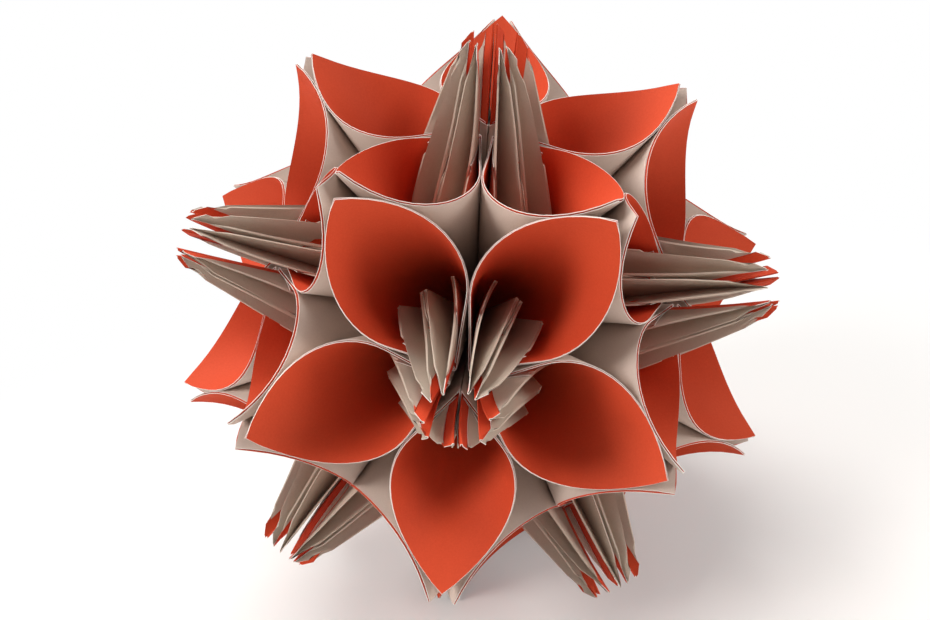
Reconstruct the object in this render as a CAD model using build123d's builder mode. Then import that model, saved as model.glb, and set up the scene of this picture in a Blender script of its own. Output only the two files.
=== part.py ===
from build123d import *
from math import asin, atan, atan2, cos, degrees, radians, sin, tan
import os

# Kusudama paper ball: 60 square sheets, each folded into one petal, glued seam to seam
# into 12 flowers of 5 petals.  Every fold of a sheet runs from its centre, and all the
# centres meet at the middle of the ball, which is the origin.  +Z is up, and the ball
# stands on the tips of two petals of its lowest flower and of their stamens.

os.makedirs("parts", exist_ok=True)

# ---- driving dimensions (millimetres and degrees) ----
SHEET_SIDE = 90.0        # side of the square sheet before folding
PLY = 0.2                # one layer of paper with its slack
WALL_PLIES = 2           # layers in a petal's wall
KITE_PLIES = 2           # layers in one leaf of a folded kite
NEIGHBOUR_GAP = 0.16     # left between the walls of petals that touch
SEAM_OFFSET = 2.5        # angle from the flower's axis to the petal's glued seam
KITE_ANGLE = 22.5        # a kite leaf takes a quarter of its quadrant's 90 degrees
KITE_SPREAD = 24.0       # angle from the seam's middle leaf to each open leaf
POINT_CUT = 4.0          # the folded points end this far from the ball's centre
HOLLOW_START = 12.0      # below this height a petal's layers lie solid
RIM_STEPS = 12           # stations along half of a petal's rim, closer towards the tip
FACING = -64.0           # turn of the whole ball about +Z

# ---- how the ball divides ----
FLOWERS_IN_RING = 5
PETALS_PER_FLOWER = 5
PETAL_PITCH = 360 / PETALS_PER_FLOWER
HALF_PITCH = PETAL_PITCH / 2
NEIGHBOUR_ANGLE = degrees(atan(2))       # between the axes of flowers side by side
HALF_NEIGHBOUR = radians(NEIGHBOUR_ANGLE / 2)

# A petal is a cone that touches the petals beside it in its own flower and those of the
# next flowers: its lean from the flower's axis, and its half angle.
LEAN = degrees(
    atan(
        sin(HALF_NEIGHBOUR)
        / (cos(HALF_NEIGHBOUR) * cos(radians(HALF_PITCH)) + sin(radians(HALF_PITCH)))
    )
)
HALF_ANGLE = degrees(asin(sin(radians(LEAN)) * sin(radians(HALF_PITCH))))

# ---- the folded sheet ----
EDGE_REACH = SHEET_SIDE / 2                         # centre to the middle of an edge
CORNER_REACH = EDGE_REACH / cos(radians(45))        # centre to a corner
CREASE_REACH = EDGE_REACH / cos(radians(KITE_ANGLE))  # centre to the kite's outer corner
SEAM_ANGLE = LEAN - SEAM_OFFSET                     # seam from the petal's axis
WALL = WALL_PLIES * PLY
KITE_LEAF = KITE_PLIES * PLY
OPEN_TOP = CORNER_REACH + 2                         # the cones are cut above every tip

# ---- how it stands ----
# The two lowest petals and their stamen tips touch the floor together.
REST_TILT = degrees(
    atan2(
        cos(radians(SEAM_OFFSET)) - cos(radians(LEAN + HALF_ANGLE)),
        cos(radians(HALF_PITCH)) * (sin(radians(LEAN + HALF_ANGLE)) - sin(radians(SEAM_OFFSET))),
    )
)


# A petal's section across its axis is a drop: a circle about the axis, and two straight
# sides that leave it for the seam, on the -X side.
CIRCLE_SLOPE = tan(radians(HALF_ANGLE))
SIDE_ANGLE = degrees(asin(CIRCLE_SLOPE / tan(radians(SEAM_ANGLE))))
TOUCH_ANGLE = 90 + SIDE_ANGLE                       # where a straight side leaves the circle


def drop(height, inset):
    """Draw the petal's section at a height, moved in by an inset all round."""
    radius = height * CIRCLE_SLOPE - inset
    seam = (-radius / sin(radians(SIDE_ANGLE)), 0)
    touch = radians(TOUCH_ANGLE)
    with BuildSketch(Plane.XY.offset(height)) as section:
        with BuildLine():
            CenterArc((0, 0), radius, -TOUCH_ANGLE, 2 * TOUCH_ANGLE)
            Polyline(
                (radius * cos(touch), radius * sin(touch)),
                seam,
                (radius * cos(touch), -radius * sin(touch)),
            )
        make_face()
    return section.sketch.face()


def rim_point(turn):
    """Side view of the rim where the drop has turned that far round from the outer tip."""
    along_wall = turn * sin(radians(HALF_ANGLE))
    reach = EDGE_REACH / cos(radians(45 - along_wall))
    across = reach * sin(radians(HALF_ANGLE)) * cos(radians(turn))
    return (across, reach * cos(radians(HALF_ANGLE)))


# ---- one petal, its axis along +Z and its seam towards -X ----
with BuildPart() as cone:
    loft([drop(POINT_CUT, NEIGHBOUR_GAP / 2), drop(OPEN_TOP, NEIGHBOUR_GAP / 2)], ruled=True)

with BuildPart() as hollow:
    loft(
        [
            drop(HOLLOW_START, NEIGHBOUR_GAP / 2 + WALL),
            drop(OPEN_TOP + WALL, NEIGHBOUR_GAP / 2 + WALL),
        ],
        ruled=True,
    )

# Everything above the sheet's cut edge, seen from the side.
outer_tip = rim_point(0)
seam_rim = (
    -EDGE_REACH * sin(radians(SEAM_ANGLE)),
    EDGE_REACH * cos(radians(SEAM_ANGLE)),
)
over = 2 * OPEN_TOP
rim_line = [rim_point(TOUCH_ANGLE * (step / RIM_STEPS) ** 2) for step in range(RIM_STEPS + 1)]
with BuildPart() as above_rim:
    with BuildSketch(Plane.XZ):
        with BuildLine():
            Spline(*rim_line)
            Polyline(rim_line[-1], seam_rim, (-over, seam_rim[1]), (-over, over), (over, over),
                     (over, outer_tip[1]), outer_tip)
        make_face()
    extrude(amount=over, both=True)

# Each kite leaf is a triangle from the ball's centre: out along the seam line to the
# sheet's corner, back along the cut edge to the crease, and home along the crease.
seam_line = Axis((0, 0, 0), (-sin(radians(SEAM_ANGLE)), 0, cos(radians(SEAM_ANGLE))))
crease_angle = KITE_ANGLE - SEAM_ANGLE


def along_seam(reach):
    """Side view of the point that far out on the seam line."""
    return (-reach * sin(radians(SEAM_ANGLE)), reach * cos(radians(SEAM_ANGLE)))


def along_crease(reach):
    """Side view of the point that far out on the kite's outer crease."""
    return (reach * sin(radians(crease_angle)), reach * cos(radians(crease_angle)))


def kite_outline():
    """The leaf's triangle, cut off at the petal's point."""
    return Polyline(
        along_seam(POINT_CUT),
        along_seam(CORNER_REACH),
        along_crease(CREASE_REACH),
        along_crease(POINT_CUT),
        close=True,
    )


# The two leaves that are glued back to back in the petal's middle plane.
with BuildPart() as middle_leaf:
    with BuildSketch(Plane.XZ):
        with BuildLine():
            kite_outline()
        make_face()
    extrude(amount=KITE_LEAF, both=True)

# The leaf that stands open, before it is turned about the seam line.
with BuildPart() as open_leaf:
    with BuildSketch(Plane.XZ):
        with BuildLine():
            kite_outline()
        make_face()
    extrude(amount=KITE_LEAF / 2, both=True)

with BuildPart() as kites:
    add(middle_leaf.part)
    add(open_leaf.part.rotate(seam_line, KITE_SPREAD))
    add(open_leaf.part.rotate(seam_line, -KITE_SPREAD))
    add(cone.part, mode=Mode.INTERSECT)

with BuildPart() as petal:
    add(cone.part)
    add(hollow.part, mode=Mode.SUBTRACT)
    add(above_rim.part, mode=Mode.SUBTRACT)
    add(kites.part)


# ---- the ball: where each flower's axis points before the ball is set down ----
def flower_plane(polar, azimuth, neighbour_polar, neighbour_azimuth):
    """A plane on the flower's axis whose x points at one neighbouring flower."""
    axis = Vector(0, 0, 1).rotate(Axis.Y, polar).rotate(Axis.Z, azimuth)
    neighbour = Vector(0, 0, 1).rotate(Axis.Y, neighbour_polar).rotate(Axis.Z, neighbour_azimuth)
    return Plane(origin=(0, 0, 0), x_dir=neighbour - axis * axis.dot(neighbour), z_dir=axis)


RING_PITCH = 360 / FLOWERS_IN_RING
UPPER_TURN = RING_PITCH / 2                  # the upper ring sits between the lower ring's flowers
flowers = [flower_plane(0, 0, NEIGHBOUR_ANGLE, UPPER_TURN)]
for place in range(FLOWERS_IN_RING):
    flowers.append(flower_plane(NEIGHBOUR_ANGLE, UPPER_TURN + place * RING_PITCH, 0, 0))
for place in range(FLOWERS_IN_RING):
    flowers.append(flower_plane(180 - NEIGHBOUR_ANGLE, place * RING_PITCH, 180, 0))
flowers.append(flower_plane(180, 0, 180 - NEIGHBOUR_ANGLE, 0))

standing = Location((0, 0, 0), (0, 0, FACING)) * Location((0, 0, 0), (0, REST_TILT, 0))
lean = Location((0, 0, 0), (0, LEAN, 0))

for flower_number, plane in enumerate(flowers, start=1):
    for petal_number in range(1, PETALS_PER_FLOWER + 1):
        turn = Location((0, 0, 0), (0, 0, HALF_PITCH + (petal_number - 1) * PETAL_PITCH))
        name = f"flower_{flower_number:02d}_petal_{petal_number}"
        with BuildPart() as placed:
            with Locations(standing * plane.location * turn * lean):
                add(petal.part)
        placed.part.label = name
        export_step(placed.part, f"parts/{name}.step")
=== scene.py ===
import random
from math import asin, atan, atan2, cos, degrees, hypot, pi, radians, sin, sqrt

import bpy
import numpy as np
from mathutils import Euler, Matrix, Vector


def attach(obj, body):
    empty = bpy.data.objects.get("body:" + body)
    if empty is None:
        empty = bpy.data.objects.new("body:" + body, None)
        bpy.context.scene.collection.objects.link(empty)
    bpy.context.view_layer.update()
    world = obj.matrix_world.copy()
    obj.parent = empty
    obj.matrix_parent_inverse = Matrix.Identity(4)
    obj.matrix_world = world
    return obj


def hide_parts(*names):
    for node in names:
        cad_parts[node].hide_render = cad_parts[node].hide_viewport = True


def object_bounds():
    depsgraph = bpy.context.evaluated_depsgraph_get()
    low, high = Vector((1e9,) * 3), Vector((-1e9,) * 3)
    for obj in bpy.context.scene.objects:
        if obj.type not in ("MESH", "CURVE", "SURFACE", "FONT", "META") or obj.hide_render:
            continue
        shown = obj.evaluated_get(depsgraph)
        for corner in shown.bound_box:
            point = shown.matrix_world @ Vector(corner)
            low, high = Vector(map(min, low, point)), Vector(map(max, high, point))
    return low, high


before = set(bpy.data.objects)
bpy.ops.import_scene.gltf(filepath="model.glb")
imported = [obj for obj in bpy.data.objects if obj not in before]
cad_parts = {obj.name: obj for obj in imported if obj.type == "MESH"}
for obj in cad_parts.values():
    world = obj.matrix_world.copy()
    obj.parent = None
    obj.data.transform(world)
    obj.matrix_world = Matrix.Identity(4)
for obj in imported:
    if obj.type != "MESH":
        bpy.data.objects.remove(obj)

# Kusudama paper ball: each petal is one square sheet, folded from its flat outline.
# All its folds run from the sheet's centre, so the folded sheet is a cone over one closed
# curve: a point keeps its distance from the centre and its angle picks a place on the curve.
# Lengths are in metres. Angles are in degrees, and so are places on the curve and the gaps
# between layers, as they are seen from the ball's centre.

cad_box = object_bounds()
floor_height = cad_box[0][2]

# ---- the sheet and where the petals sit, as in the part's source ----
SHEET_SIDE = 0.090
EDGE_REACH = SHEET_SIDE / 2
CORNER_REACH = EDGE_REACH / cos(radians(45))
SEAM_OFFSET = 2.5
FACING = -64.0
PETALS_PER_FLOWER = 5
PETAL_PITCH = 360 / PETALS_PER_FLOWER
HALF_PITCH = PETAL_PITCH / 2
FLOWERS_PER_RING = 5
NEIGHBOUR_ANGLE = degrees(atan(2))
half_neighbour = radians(NEIGHBOUR_ANGLE / 2)
LEAN = degrees(atan(sin(half_neighbour) / (
    cos(half_neighbour) * cos(radians(HALF_PITCH)) + sin(radians(HALF_PITCH)))))
HALF_ANGLE = degrees(asin(sin(radians(LEAN)) * sin(radians(HALF_PITCH))))
REST_TILT = degrees(atan2(
    cos(radians(SEAM_OFFSET)) - cos(radians(LEAN + HALF_ANGLE)),
    cos(radians(HALF_PITCH)) * (sin(radians(LEAN + HALF_ANGLE)) - sin(radians(SEAM_OFFSET)))))

# ---- where the folds lie on either half of the sheet: angles from the outer tip ----
KITE_ANGLE = 22.5                          # one layer of a kite
AT_SEAM = 45.0                             # the seam runs to the middle of an edge
AT_GLUED_EDGE = AT_SEAM + KITE_ANGLE       # the glued leaf's far edge
AT_MIDDLE = AT_SEAM + 2 * KITE_ANGLE       # the kite's middle line, to a corner of the sheet
AT_OPEN_EDGE = AT_SEAM + 3 * KITE_ANGLE    # the open leaf's far edge
AT_FOOT = AT_SEAM + 4 * KITE_ANGLE         # the kite's foot, where the inner ply starts
AT_INNER_TIP = 180.0

# ---- the paper's layers ----
PAPER = 0.00013            # thickness of the sheet
WALL_CLEAR = 0.10          # outer ply to the neighbouring petal
PLY_GAP = 0.26             # outer ply to inner ply
LEAF_GAP = 0.95            # between the two layers of a kite's leaf, where its edge is tucked in
FOOT_GAP = 0.20            # and where they start, at the kite's middle line
GLUE_HALF = 0.18           # half the gap between the two glued leaves
VALLEY = 1.4               # from the seam to the kite's middle line
FOOT_ALONG = 1.3 * VALLEY  # from the seam along the wall to the kite's foot
LEAF_SPREAD = 21.0         # from the glued leaf to the end of an open leaf
LEAF_TAKE_UP = 1.0         # how much shorter a kite's leaf lies than it is, for its soft creases
TUCK_REACH = 0.0255        # from the sheet's centre to the crease that tucks a kite's edge in
TUCK_ANGLE = 22.5          # between that crease and the kite's middle line
TUCK_INSET = 0.0002        # from a leaf's layer to the edge tucked in behind it
TUCK_EASE = 0.00006        # how far past the crease the edge has its full inset
LINING_PROUD = (0.0002, 0.0004)            # the inner ply past the outer one's cut edge
CENTRE_CLEAR = 0.0005      # the sheets' centres end this far from the ball's centre

# ---- the unevenness of hand work ----
SPREAD_PLAY = (-3, 3)      # of an open leaf's end
LEAF_BOW = (1.2, 2.2)      # of an open leaf
TIP_CURL = (-1.0, 1.6)     # of a kite's tip, sideways
TIP_NOD = (-0.9, 0.9)      # of the kites' tips, in and out
RIM_NOD = (-0.5, 0.6)      # of the petal's own tip, in and out
RIM_TIP = 25               # half the width of the petal's own tip
TIP_FROM = 0.72            # share of the way to a corner where the tips start to turn

# ---- how finely the sheet is divided ----
ROWS = 15                  # rings from the innermost one to the cut edge
EDGE_SHARES = (1.0, 0.45, 0.05)            # the rings in the edge strip, as shares of its width
EDGE_STRIP = 0.0016        # its width where nothing is tucked in, and else it starts at the tuck
INNER_RING = 0.004         # radius of the innermost ring
ARC_STEPS = 15
SIDE_STEPS = 4
INNER_SIDE_STEPS = 5
LEAF_STEPS = 6
CREASE_ROUND = 0.35        # how much of the sheet a crease takes up, on either side
CREASE_EASE = 0.02         # share of the next stretch where its rounding ends
FOLD_TURN = 0.4            # the same two for the folds at the seam and at the foot
SEAM_EASE = 0.03
NEAR_SEAM = 0.5            # the glued leaf lies flat from here
TINY = 1e-7                # nothing, to within rounding

# ---- the folded curve of one half of the sheet, from the petal's axis ----
WALL = HALF_ANGLE - WALL_CLEAR             # radius of the wall's round part
SEAM = LEAN - SEAM_OFFSET                  # from the petal's axis to its seam
SIDE = asin(WALL / SEAM)                   # the wall's straight side, off the middle plane
TOUCH = pi / 2 + SIDE                      # where the round part meets it
SIDE_LENGTH = sqrt(SEAM ** 2 - WALL ** 2)


class Curve:
    """Stations along the folded curve: places (u, v) and the sheet's own angle."""

    def __init__(self):
        self.places = []
        self.angles = []

    def station(self, place, angle):
        self.places.append(place)
        self.angles.append(angle)

    def run(self, path, angle_first, angle_last, steps):
        """Stations along a path, without its ends."""
        for step in range(1, steps):
            share = step / steps
            self.station(path(share), angle_first + (angle_last - angle_first) * share)

    def crease(self, before, corner_a, corner_b, after, angle):
        """The sheet turns back on itself round two close corners."""
        for place, share in ((lerp(corner_a, before, CREASE_EASE), -1.0), (corner_a, -0.5),
                             (lerp(corner_a, corner_b, 0.5), 0.0), (corner_b, 0.5),
                             (lerp(corner_b, after, CREASE_EASE), 1.0)):
            self.station(place, angle + share * CREASE_ROUND)


def lerp(a, b, share):
    """The place a share of the way from a to b."""
    return tuple(p + (q - p) * share for p, q in zip(a, b))


def wall_place(depth, along):
    """A place at a depth inside the outer ply, some way along the wall from the seam."""
    if along <= SIDE_LENGTH:
        return (along * cos(SIDE) - SEAM + depth * sin(SIDE), along * sin(SIDE) - depth * cos(SIDE))
    turn = TOUCH - (along - SIDE_LENGTH) / (WALL - depth)
    return ((WALL - depth) * cos(turn), (WALL - depth) * sin(turn))


def bowed(start, end, bow=0.0):
    """A path from start to end, as share 0 to 1, that bows to its left."""
    across = (start[1] - end[1], end[0] - start[0])
    length = hypot(*across)

    def path(share):
        place = lerp(start, end, share)
        rise = bow * sin(pi * share) / length
        return (place[0] + across[0] * rise, place[1] + across[1] * rise)
    return path


def folded_half(spread, bow):
    """From the outer tip round the wall to the seam, in and out of the kite, and back inside.

    The kite's open leaf ends at an angle of spread from the glued one, and bows away from it.
    """
    curve = Curve()
    arc_length = WALL * TOUCH
    at_touch = AT_SEAM * arc_length / (arc_length + SIDE_LENGTH)
    for step in range(ARC_STEPS + 1):
        share = step / ARC_STEPS
        curve.station(wall_place(0, SIDE_LENGTH + arc_length * (1 - share)), at_touch * share)
    start = (-SEAM, GLUE_HALF)
    touch_point = wall_place(0, SIDE_LENGTH)
    curve.run(bowed(touch_point, start), at_touch, AT_SEAM, SIDE_STEPS)
    curve.station(lerp(start, touch_point, SEAM_EASE), AT_SEAM - FOLD_TURN)
    curve.station(start, AT_SEAM)

    # the glued leaf: in along the middle plane, and back to the kite's middle line
    leaf = KITE_ANGLE - LEAF_TAKE_UP
    near = (NEAR_SEAM - SEAM, GLUE_HALF)
    corner = (leaf - SEAM, GLUE_HALF)
    front_corner = (leaf - SEAM, GLUE_HALF + LEAF_GAP)
    valley = (VALLEY - SEAM, GLUE_HALF + FOOT_GAP)
    open_start = (VALLEY - SEAM, GLUE_HALF + 2 * FOOT_GAP)
    curve.station(near, AT_SEAM + NEAR_SEAM)
    curve.run(bowed(near, corner), AT_SEAM + NEAR_SEAM, AT_GLUED_EDGE, LEAF_STEPS)
    curve.crease(near, corner, front_corner, valley, AT_GLUED_EDGE)
    curve.run(bowed(front_corner, valley), AT_GLUED_EDGE, AT_MIDDLE, LEAF_STEPS)

    # the open leaf: out across the hollow, and back behind itself
    way = (cos(radians(spread)), sin(radians(spread)))
    open_corner = (open_start[0] + leaf * way[0], open_start[1] + leaf * way[1])
    back_corner = (open_corner[0] - LEAF_GAP * way[1], open_corner[1] + LEAF_GAP * way[0])
    foot = wall_place(PLY_GAP + FOOT_GAP, FOOT_ALONG)
    curve.crease(front_corner, valley, open_start, open_corner, AT_MIDDLE)
    curve.run(bowed(open_start, open_corner, bow), AT_MIDDLE, AT_OPEN_EDGE, 2 * LEAF_STEPS)
    curve.crease(open_start, open_corner, back_corner, foot, AT_OPEN_EDGE)
    curve.run(bowed(back_corner, foot, -bow), AT_OPEN_EDGE, AT_FOOT, 2 * LEAF_STEPS)
    curve.station(lerp(foot, back_corner, CREASE_EASE), AT_FOOT - FOLD_TURN)
    curve.station(lerp(foot, wall_place(PLY_GAP, VALLEY), 0.5), AT_FOOT)

    # the inner ply, back along the wall
    inner_start = wall_place(PLY_GAP, FOOT_ALONG)
    inner_touch = wall_place(PLY_GAP, SIDE_LENGTH)
    curve.station(inner_start, AT_FOOT + FOLD_TURN)
    curve.run(bowed(inner_start, inner_touch), AT_FOOT + FOLD_TURN, AT_INNER_TIP - at_touch,
              INNER_SIDE_STEPS)
    for step in range(ARC_STEPS + 1):
        share = step / ARC_STEPS
        arc = (WALL - PLY_GAP) * TOUCH * share
        curve.station(wall_place(PLY_GAP, SIDE_LENGTH + arc), AT_INNER_TIP - at_touch * (1 - share))
    return curve


def folded_curve(left_leaf, right_leaf):
    """The whole closed curve, as arrays u, v and the sheet's angle, from each leaf's spread and bow."""
    left = folded_half(*left_leaf)
    right = folded_half(*right_leaf)
    places = np.array(left.places + [(u, -v) for u, v in right.places[-2:0:-1]])
    angles = np.array(left.angles + [360 - angle for angle in right.angles[-2:0:-1]])
    return places[:, 0], places[:, 1], angles


COLUMNS = len(folded_curve((LEAF_SPREAD, 0), (LEAF_SPREAD, 0))[0])


def only(piece):
    """Leave just this piece selected and active."""
    bpy.ops.object.select_all(action="DESELECT")
    piece.select_set(True)
    bpy.context.view_layer.objects.active = piece


def flat_sheet():
    """The unfolded sheet as rings of columns about its centre, drawn outermost first."""
    bpy.ops.object.select_all(action="DESELECT")
    bpy.ops.mesh.primitive_circle_add(vertices=COLUMNS, radius=CORNER_REACH, fill_type="NOTHING")
    sheet = bpy.context.active_object
    bpy.ops.object.mode_set(mode="EDIT")
    bpy.ops.mesh.select_all(action="SELECT")
    for row in range(1, ROWS + 1):
        shrink = (ROWS + 1 - row) / (ROWS + 2 - row)
        bpy.ops.mesh.extrude_edges_move()
        bpy.ops.transform.resize(value=(shrink, shrink, shrink))
    bpy.ops.mesh.extrude_edges_move()
    bpy.ops.mesh.merge(type="COLLAPSE")
    bpy.ops.mesh.select_all(action="SELECT")
    bpy.ops.mesh.flip_normals()
    bpy.ops.object.mode_set(mode="OBJECT")
    return sheet


def direction(u, v):
    """Unit vectors towards places on the curve, with the petal's axis as z."""
    turn = np.radians(np.hypot(u, v))
    lean = np.where(turn > TINY, np.sin(turn) / np.maximum(turn, TINY), 1.0)
    return np.stack([np.radians(u) * lean, np.radians(v) * lean, np.cos(turn)], axis=-1)


def between(s, first, last):
    return (s > first) & (s < last)


def in_kite(s):
    return between(np.minimum(s, 360 - s), AT_SEAM, AT_FOOT)


def leaf_angle(s):
    """The line that both layers of a leaf start from, and the angle from it."""
    half_s = np.minimum(s, 360 - s)
    line = np.select([half_s < AT_GLUED_EDGE, half_s < AT_OPEN_EDGE], [AT_SEAM, AT_MIDDLE], AT_FOOT)
    return line, np.abs(half_s - line)


def sheet_rows(s, reach):
    """Distances from the sheet's centre, a row of points for each ring of the sheet."""
    across = np.radians(leaf_angle(s)[1])
    crease = TUCK_REACH / np.sin(across + radians(TUCK_ANGLE))
    strip = np.minimum(reach - EDGE_STRIP, np.where(in_kite(s), crease, reach))
    edge_rows = np.array(EDGE_SHARES)[:, None]
    inner_rows = np.linspace(1.0, 0.0, ROWS - len(EDGE_SHARES) + 1)[:, None]
    return np.vstack([strip + (reach - strip) * edge_rows,
                      INNER_RING + (strip - INNER_RING) * inner_rows])


def tuck_in(u, v, s, distance):
    """Fold the kites' edges over their creases, back between the two layers of each leaf."""
    line, across = leaf_angle(s)
    turn = np.radians(across)
    normal = (cos(radians(TUCK_ANGLE)), sin(radians(TUCK_ANGLE)))
    sideways = distance * np.sin(turn)
    outward = distance * np.cos(turn)
    past = sideways * normal[0] + outward * normal[1] - TUCK_REACH
    tucked = in_kite(s) & (past > TINY)
    sideways = sideways - 2 * past * normal[0]
    outward = outward - 2 * past * normal[1]

    # where the tucked edge lies on the curve, and how far inside its own layer
    half_s = line + np.degrees(np.arctan2(sideways, outward)) * np.sign(np.minimum(s, 360 - s) - line)
    new_s = np.where(s > 180, 360 - half_s, half_s)
    slope_u = np.gradient(u, s)
    slope_v = np.gradient(v, s)
    slope = np.hypot(slope_u, slope_v)
    inward = np.degrees(TUCK_INSET / distance) * np.clip(past / TUCK_EASE, 0, 1)
    new_u = np.interp(new_s, s, u) - inward * np.interp(new_s, s, slope_v / slope)
    new_v = np.interp(new_s, s, v) + inward * np.interp(new_s, s, slope_u / slope)
    return (np.where(tucked, new_u, u), np.where(tucked, new_v, v),
            np.where(tucked, np.hypot(sideways, outward), distance))


# A petal's list of materials: a face has its own, the sheet's other side the one that is
# OTHER_SIDE after it, and the cut edge between them the one that is CUT_EDGE after it.
WALL_SLOT = 0
LINING_SLOT = 1
# the kites' faces take a darker copy of the pale paper: painted shade
SHADED_KITE_SLOT = 5
OTHER_SIDE = 1
CUT_EDGE = 3


def fold(sheet, place, chance):
    """Fold the sheet into a petal, with the small unevenness of hand work."""
    leaves = [(LEAF_SPREAD + chance.uniform(*SPREAD_PLAY), chance.uniform(*LEAF_BOW))
              for side in range(2)]
    u, v, s = folded_curve(*leaves)
    from_edge = np.radians(s - AT_SEAM)
    reach = EDGE_REACH / np.maximum(np.abs(np.cos(from_edge)), np.abs(np.sin(from_edge)))
    lining = between(s, AT_FOOT, 360 - AT_FOOT)
    reach = np.minimum(reach + lining * chance.uniform(*LINING_PROUD), CORNER_REACH)
    u, v, distance = tuck_in(u, v, s, sheet_rows(s, reach))

    # the outer part of the tips curls a little
    tip = np.clip((distance / CORNER_REACH - TIP_FROM) / (1 - TIP_FROM), 0, 1) ** 2
    left_tip = between(s, AT_SEAM, AT_FOOT)
    right_tip = between(s, 360 - AT_FOOT, 360 - AT_SEAM)
    rim_tip = (s < RIM_TIP) | (s > 360 - RIM_TIP) | (np.abs(s - AT_INNER_TIP) < RIM_TIP)
    curl = left_tip * chance.uniform(*TIP_CURL) - right_tip * chance.uniform(*TIP_CURL)
    nod = (left_tip | right_tip) * chance.uniform(*TIP_NOD) + rim_tip * chance.uniform(*RIM_NOD)
    points = direction(u + tip * nod, v + tip * curl) * distance[..., None]
    points = np.vstack([points.reshape(-1, 3), [[0, 0, CENTRE_CLEAR]]]) @ np.array(place.to_3x3()).T
    points[:, 2] = np.maximum(points[:, 2], floor_height + PAPER / 2)
    sheet.data.vertices.foreach_set("co", points.reshape(-1))

    # the inner ply is red on both of its faces, and the kites' pale faces take a darker copy of the pale
    # paper, which is painted shade
    faces = sheet.data.polygons
    columns = [[corner % COLUMNS for corner in face.vertices] for face in faces]
    red = np.array([lining[face].all() for face in columns])
    kites = np.array([in_kite(s[face]).all() for face in columns])
    slots = np.select([red, kites], [LINING_SLOT, SHADED_KITE_SLOT], WALL_SLOT)
    faces.foreach_set("material_index", slots.astype(np.int32))
    sheet.data.update()


# ---- where the petals sit, as in the part's source ----
def turned(axis, angle):
    return Matrix.Rotation(radians(angle), 4, axis)


def flower_place(polar, azimuth, neighbour_polar, neighbour_azimuth):
    """Axes of a flower: z out along it, x towards one neighbouring flower."""
    out = (turned("Z", azimuth) @ turned("Y", polar)).to_3x3().col[2]
    neighbour = (turned("Z", neighbour_azimuth) @ turned("Y", neighbour_polar)).to_3x3().col[2]
    across = (neighbour - out * out.dot(neighbour)).normalized()
    return Matrix((across, out.cross(across), out)).transposed().to_4x4()


flowers = [flower_place(0, 0, NEIGHBOUR_ANGLE, HALF_PITCH)]
for ring_place in range(FLOWERS_PER_RING):
    flowers.append(flower_place(NEIGHBOUR_ANGLE, HALF_PITCH + ring_place * PETAL_PITCH, 0, 0))
for ring_place in range(FLOWERS_PER_RING):
    flowers.append(flower_place(180 - NEIGHBOUR_ANGLE, ring_place * PETAL_PITCH, 180, 0))
flowers.append(flower_place(180, 0, 180 - NEIGHBOUR_ANGLE, 0))
standing = turned("Z", FACING) @ turned("Y", REST_TILT)


# ---- materials ----
class Link:
    """A shader socket that takes part in sums."""

    def __init__(self, shader, socket):
        self.shader = shader
        self.socket = socket

    def math(self, operation, first, second):
        return self.shader.node("ShaderNodeMath", {"operation": operation}, {0: first, 1: second})

    def __add__(self, other):
        return self.math("ADD", self, other)

    def __radd__(self, other):
        return self.math("ADD", other, self)

    def __sub__(self, other):
        return self.math("SUBTRACT", self, other)

    def __rsub__(self, other):
        return self.math("SUBTRACT", other, self)

    def __mul__(self, other):
        return self.math("MULTIPLY", self, other)

    def __rmul__(self, other):
        return self.math("MULTIPLY", other, self)


class Shader:
    """A material or world whose nodes are added one call at a time."""

    def __init__(self, owner, surface):
        self.owner = owner
        owner.use_nodes = True
        self.tree = owner.node_tree
        self.surface = self.tree.nodes[surface]

    def put(self, socket, value):
        if isinstance(value, Link):
            self.tree.links.new(value.socket, socket)
        else:
            socket.default_value = value

    def node(self, kind, settings, inputs, output=0):
        made = self.tree.nodes.new(kind)
        for key, value in settings.items():
            setattr(made, key, value)
        for key, value in inputs.items():
            self.put(made.inputs[key], value)
        return Link(self, made.outputs[output])

    def set(self, values):
        for key, value in values.items():
            self.put(self.surface.inputs[key], value)

    def seen(self):
        """1 for what the camera sees, also in a reflection or through glass, and else 0."""
        rays = [self.node("ShaderNodeLightPath", {}, {}, f"Is {ray} Ray")
                for ray in ("Camera", "Glossy", "Transmission")]
        return rays[0].math("MAXIMUM", rays[0], rays[1].math("MAXIMUM", rays[1], rays[2]))


def material(name):
    return Shader(bpy.data.materials.new(name), "Principled BSDF")


FIBRE_SCALE = 2600.0       # noise cells a metre, for the paper's fibres
FIBRE_RELIEF = 0.00006     # how deep they lie
CLOUD_SCALE = 55.0         # and for its wider clouding
CLOUD_SHARE = 0.45         # how strongly that turns the colour to the shade
MEAN_SHADE = 0.35          # how far the colour lies towards the shade on the whole
ROUGHNESS_PLAY = 0.12


def paper(name, color, shade, roughness, grain):
    """Uncoated paper: a base colour that clouds slightly, fibre grain and a soft bump."""
    shader = material(name)
    place = shader.node("ShaderNodeTexCoord", {}, {}, "Object")
    fibre = shader.node("ShaderNodeTexNoise", {}, {
        "Vector": place, "Scale": FIBRE_SCALE, "Detail": 3.0, "Roughness": 0.65})
    cloud = shader.node("ShaderNodeTexNoise", {}, {
        "Vector": place, "Scale": CLOUD_SCALE, "Detail": 3.0})
    mix = fibre * grain + cloud * CLOUD_SHARE + (MEAN_SHADE - (grain + CLOUD_SHARE) / 2)
    tint = shader.node("ShaderNodeMix", {"data_type": "RGBA"}, {0: mix, 6: color, 7: shade}, 2)
    bump = shader.node("ShaderNodeBump", {}, {
        "Strength": 0.35, "Distance": FIBRE_RELIEF, "Height": fibre})
    shader.set({
        "Base Color": tint, "Normal": bump, "Specular IOR Level": 0.25,
        "Roughness": fibre * ROUGHNESS_PLAY + (roughness - ROUGHNESS_PLAY / 2)})
    return shader.owner


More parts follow.
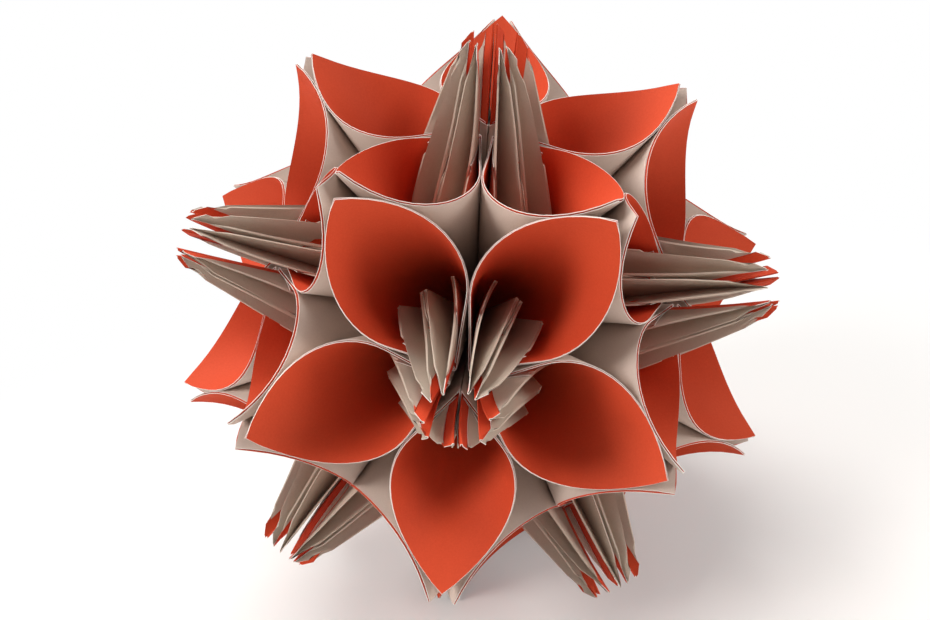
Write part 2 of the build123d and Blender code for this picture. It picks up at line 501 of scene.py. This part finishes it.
red_paper = paper("red_paper", (0.72, 0.085, 0.028, 1), (0.57, 0.055, 0.019, 1), 0.72, 0.7)
pale_paper = paper("pale_paper", (0.75, 0.62, 0.55, 1), (0.61, 0.49, 0.425, 1), 0.8, 0.6)
# painted shade: the kites are the same sheet as the walls, so this darker, browner copy of the pale paper
# stands in for the shade they lie in
kite_painted_shade = paper("kite_painted_shade", (0.58, 0.49, 0.405, 1), (0.44, 0.365, 0.295, 1), 0.8, 0.6)
cut_edge = paper("cut_edge", (0.86, 0.79, 0.74, 1), (0.78, 0.70, 0.64, 1), 0.85, 0.4)
petal_papers = (pale_paper, red_paper, red_paper, cut_edge, cut_edge,
                kite_painted_shade, red_paper, cut_edge, cut_edge)

# ---- the sixty petals ----
SEEDS_PER_FLOWER = 10
SMOOTH_UNDER = 50          # faces that meet at less than this are shaded as one surface

sheet_pattern = flat_sheet()
for flower_number, flower in enumerate(flowers, start=1):
    for petal_number in range(1, PETALS_PER_FLOWER + 1):
        name = f"flower_{flower_number:02d}_petal_{petal_number}"
        piece = sheet_pattern.copy()
        piece.data = sheet_pattern.data.copy()
        piece.name = "folded_" + name
        bpy.context.scene.collection.objects.link(piece)
        turn = turned("Z", HALF_PITCH + (petal_number - 1) * PETAL_PITCH)
        chance = random.Random(flower_number * SEEDS_PER_FLOWER + petal_number)
        fold(piece, standing @ flower @ turn @ turned("Y", LEAN), chance)
        for petal_paper in petal_papers:
            piece.data.materials.append(petal_paper)
        only(piece)
        body = piece.modifiers.new("paper", "SOLIDIFY")
        body.thickness = PAPER
        body.offset = 0
        body.use_even_offset = False
        body.material_offset = OTHER_SIDE
        body.material_offset_rim = CUT_EDGE
        bpy.ops.object.modifier_apply(modifier=body.name)
        bpy.ops.object.shade_smooth_by_angle(angle=radians(SMOOTH_UNDER))
        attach(piece, "root")
        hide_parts(name)
bpy.data.objects.remove(sheet_pattern)

# ---- floor and surroundings ----
WHITE = (1, 1, 1, 1)
FLOOR_SIZE = 8
SHADOW_REACH = 0.08        # the floor shows its light and shade up to here, then turns white
WHITE_FROM = 0.26
WHITE_NEAR = 0.2           # how white it is under the ball

bpy.ops.object.select_all(action="DESELECT")
bpy.ops.mesh.primitive_plane_add(size=FLOOR_SIZE, location=(0, 0, floor_height))
floor = bpy.context.active_object
floor.name = "floor"
floor_paper = material("floor_paper")
floor_paper.set({"Base Color": (0.94, 0.925, 0.91, 1), "Roughness": 0.7})
floor_point = floor_paper.node("ShaderNodeTexCoord", {}, {}, "Object")
away = floor_paper.node("ShaderNodeVectorMath", {"operation": "LENGTH"}, {0: floor_point}, "Value")
fade = floor_paper.node("ShaderNodeMapRange", {"interpolation_type": "SMOOTHSTEP"}, {
    "Value": away, "From Min": SHADOW_REACH, "From Max": WHITE_FROM, "To Min": WHITE_NEAR, "To Max": 1.0})
white = floor_paper.node("ShaderNodeEmission", {}, {"Color": WHITE, "Strength": 1.0})
lit = Link(floor_paper, floor_paper.surface.outputs[0])
shown = floor_paper.node("ShaderNodeMixShader", {}, {0: floor_paper.seen() * fade, 1: lit, 2: white})
floor_paper.put(floor_paper.tree.nodes["Material Output"].inputs["Surface"], shown)
floor.data.materials.append(floor_paper.owner)

AMBIENT_LOW = 0.025        # light from the room at the floor's level
AMBIENT_HIGH = 0.40        # and from overhead
studio = Shader(bpy.data.worlds.new("studio"), "Background")
sky_point = studio.node("ShaderNodeTexCoord", {}, {}, "Generated")
height = studio.node("ShaderNodeSeparateXYZ", {}, {0: sky_point}, "Z")
up = height.math("MAXIMUM", height, 0.0)
glow = up * (AMBIENT_HIGH - AMBIENT_LOW) + AMBIENT_LOW
studio.set({"Color": WHITE, "Strength": glow + studio.seen() * (1 - glow)})
bpy.context.scene.world = studio.owner


# ---- light and camera ----
def area_light(name, place, size, power, color):
    """A round lamp at a place, turned to the ball."""
    lamp = bpy.data.lights.new(name, "AREA")
    lamp.shape = "DISK"
    lamp.size = size
    lamp.energy = power
    lamp.color = color
    holder = bpy.data.objects.new(name, lamp)
    holder.rotation_euler = Vector(place).to_track_quat("Z", "Y").to_euler()
    holder.location = place
    bpy.context.scene.collection.objects.link(holder)


area_light("softbox_above", (-0.10, 0.15, 0.75), 0.5, 4.3, (1.0, 0.98, 0.95))
area_light("softbox_left", (-0.66, -0.34, 0.56), 0.4, 4.9, (1.0, 0.96, 0.92))
area_light("softbox_right", (0.74, -0.30, 0.34), 0.4, 3.0, (1.0, 0.96, 0.92))

CAMERA_PLACE = (-0.0326, -2.792, 1.0812)   # in corner reaches from the ball's centre
CAMERA_DOWN = 20.8
CAMERA_ROLL = 9.8
CAMERA_LENS = 33.76        # millimetres, as is the sensor's width
SENSOR_WIDTH = 36
CAMERA_NEAR = 0.01
camera_data = bpy.data.cameras.new("camera")
camera_data.lens = CAMERA_LENS
camera_data.sensor_width = SENSOR_WIDTH
camera_data.clip_start = CAMERA_NEAR
camera = bpy.data.objects.new("camera", camera_data)
camera.rotation_euler = (Euler((radians(90 - CAMERA_DOWN), 0, 0)).to_matrix()
                         @ Matrix.Rotation(radians(-CAMERA_ROLL), 3, "Z")).to_euler()
camera.location = [part * CORNER_REACH for part in CAMERA_PLACE]
bpy.context.scene.collection.objects.link(camera)
bpy.context.scene.camera = camera
bpy.context.scene.view_settings.view_transform = "Standard"
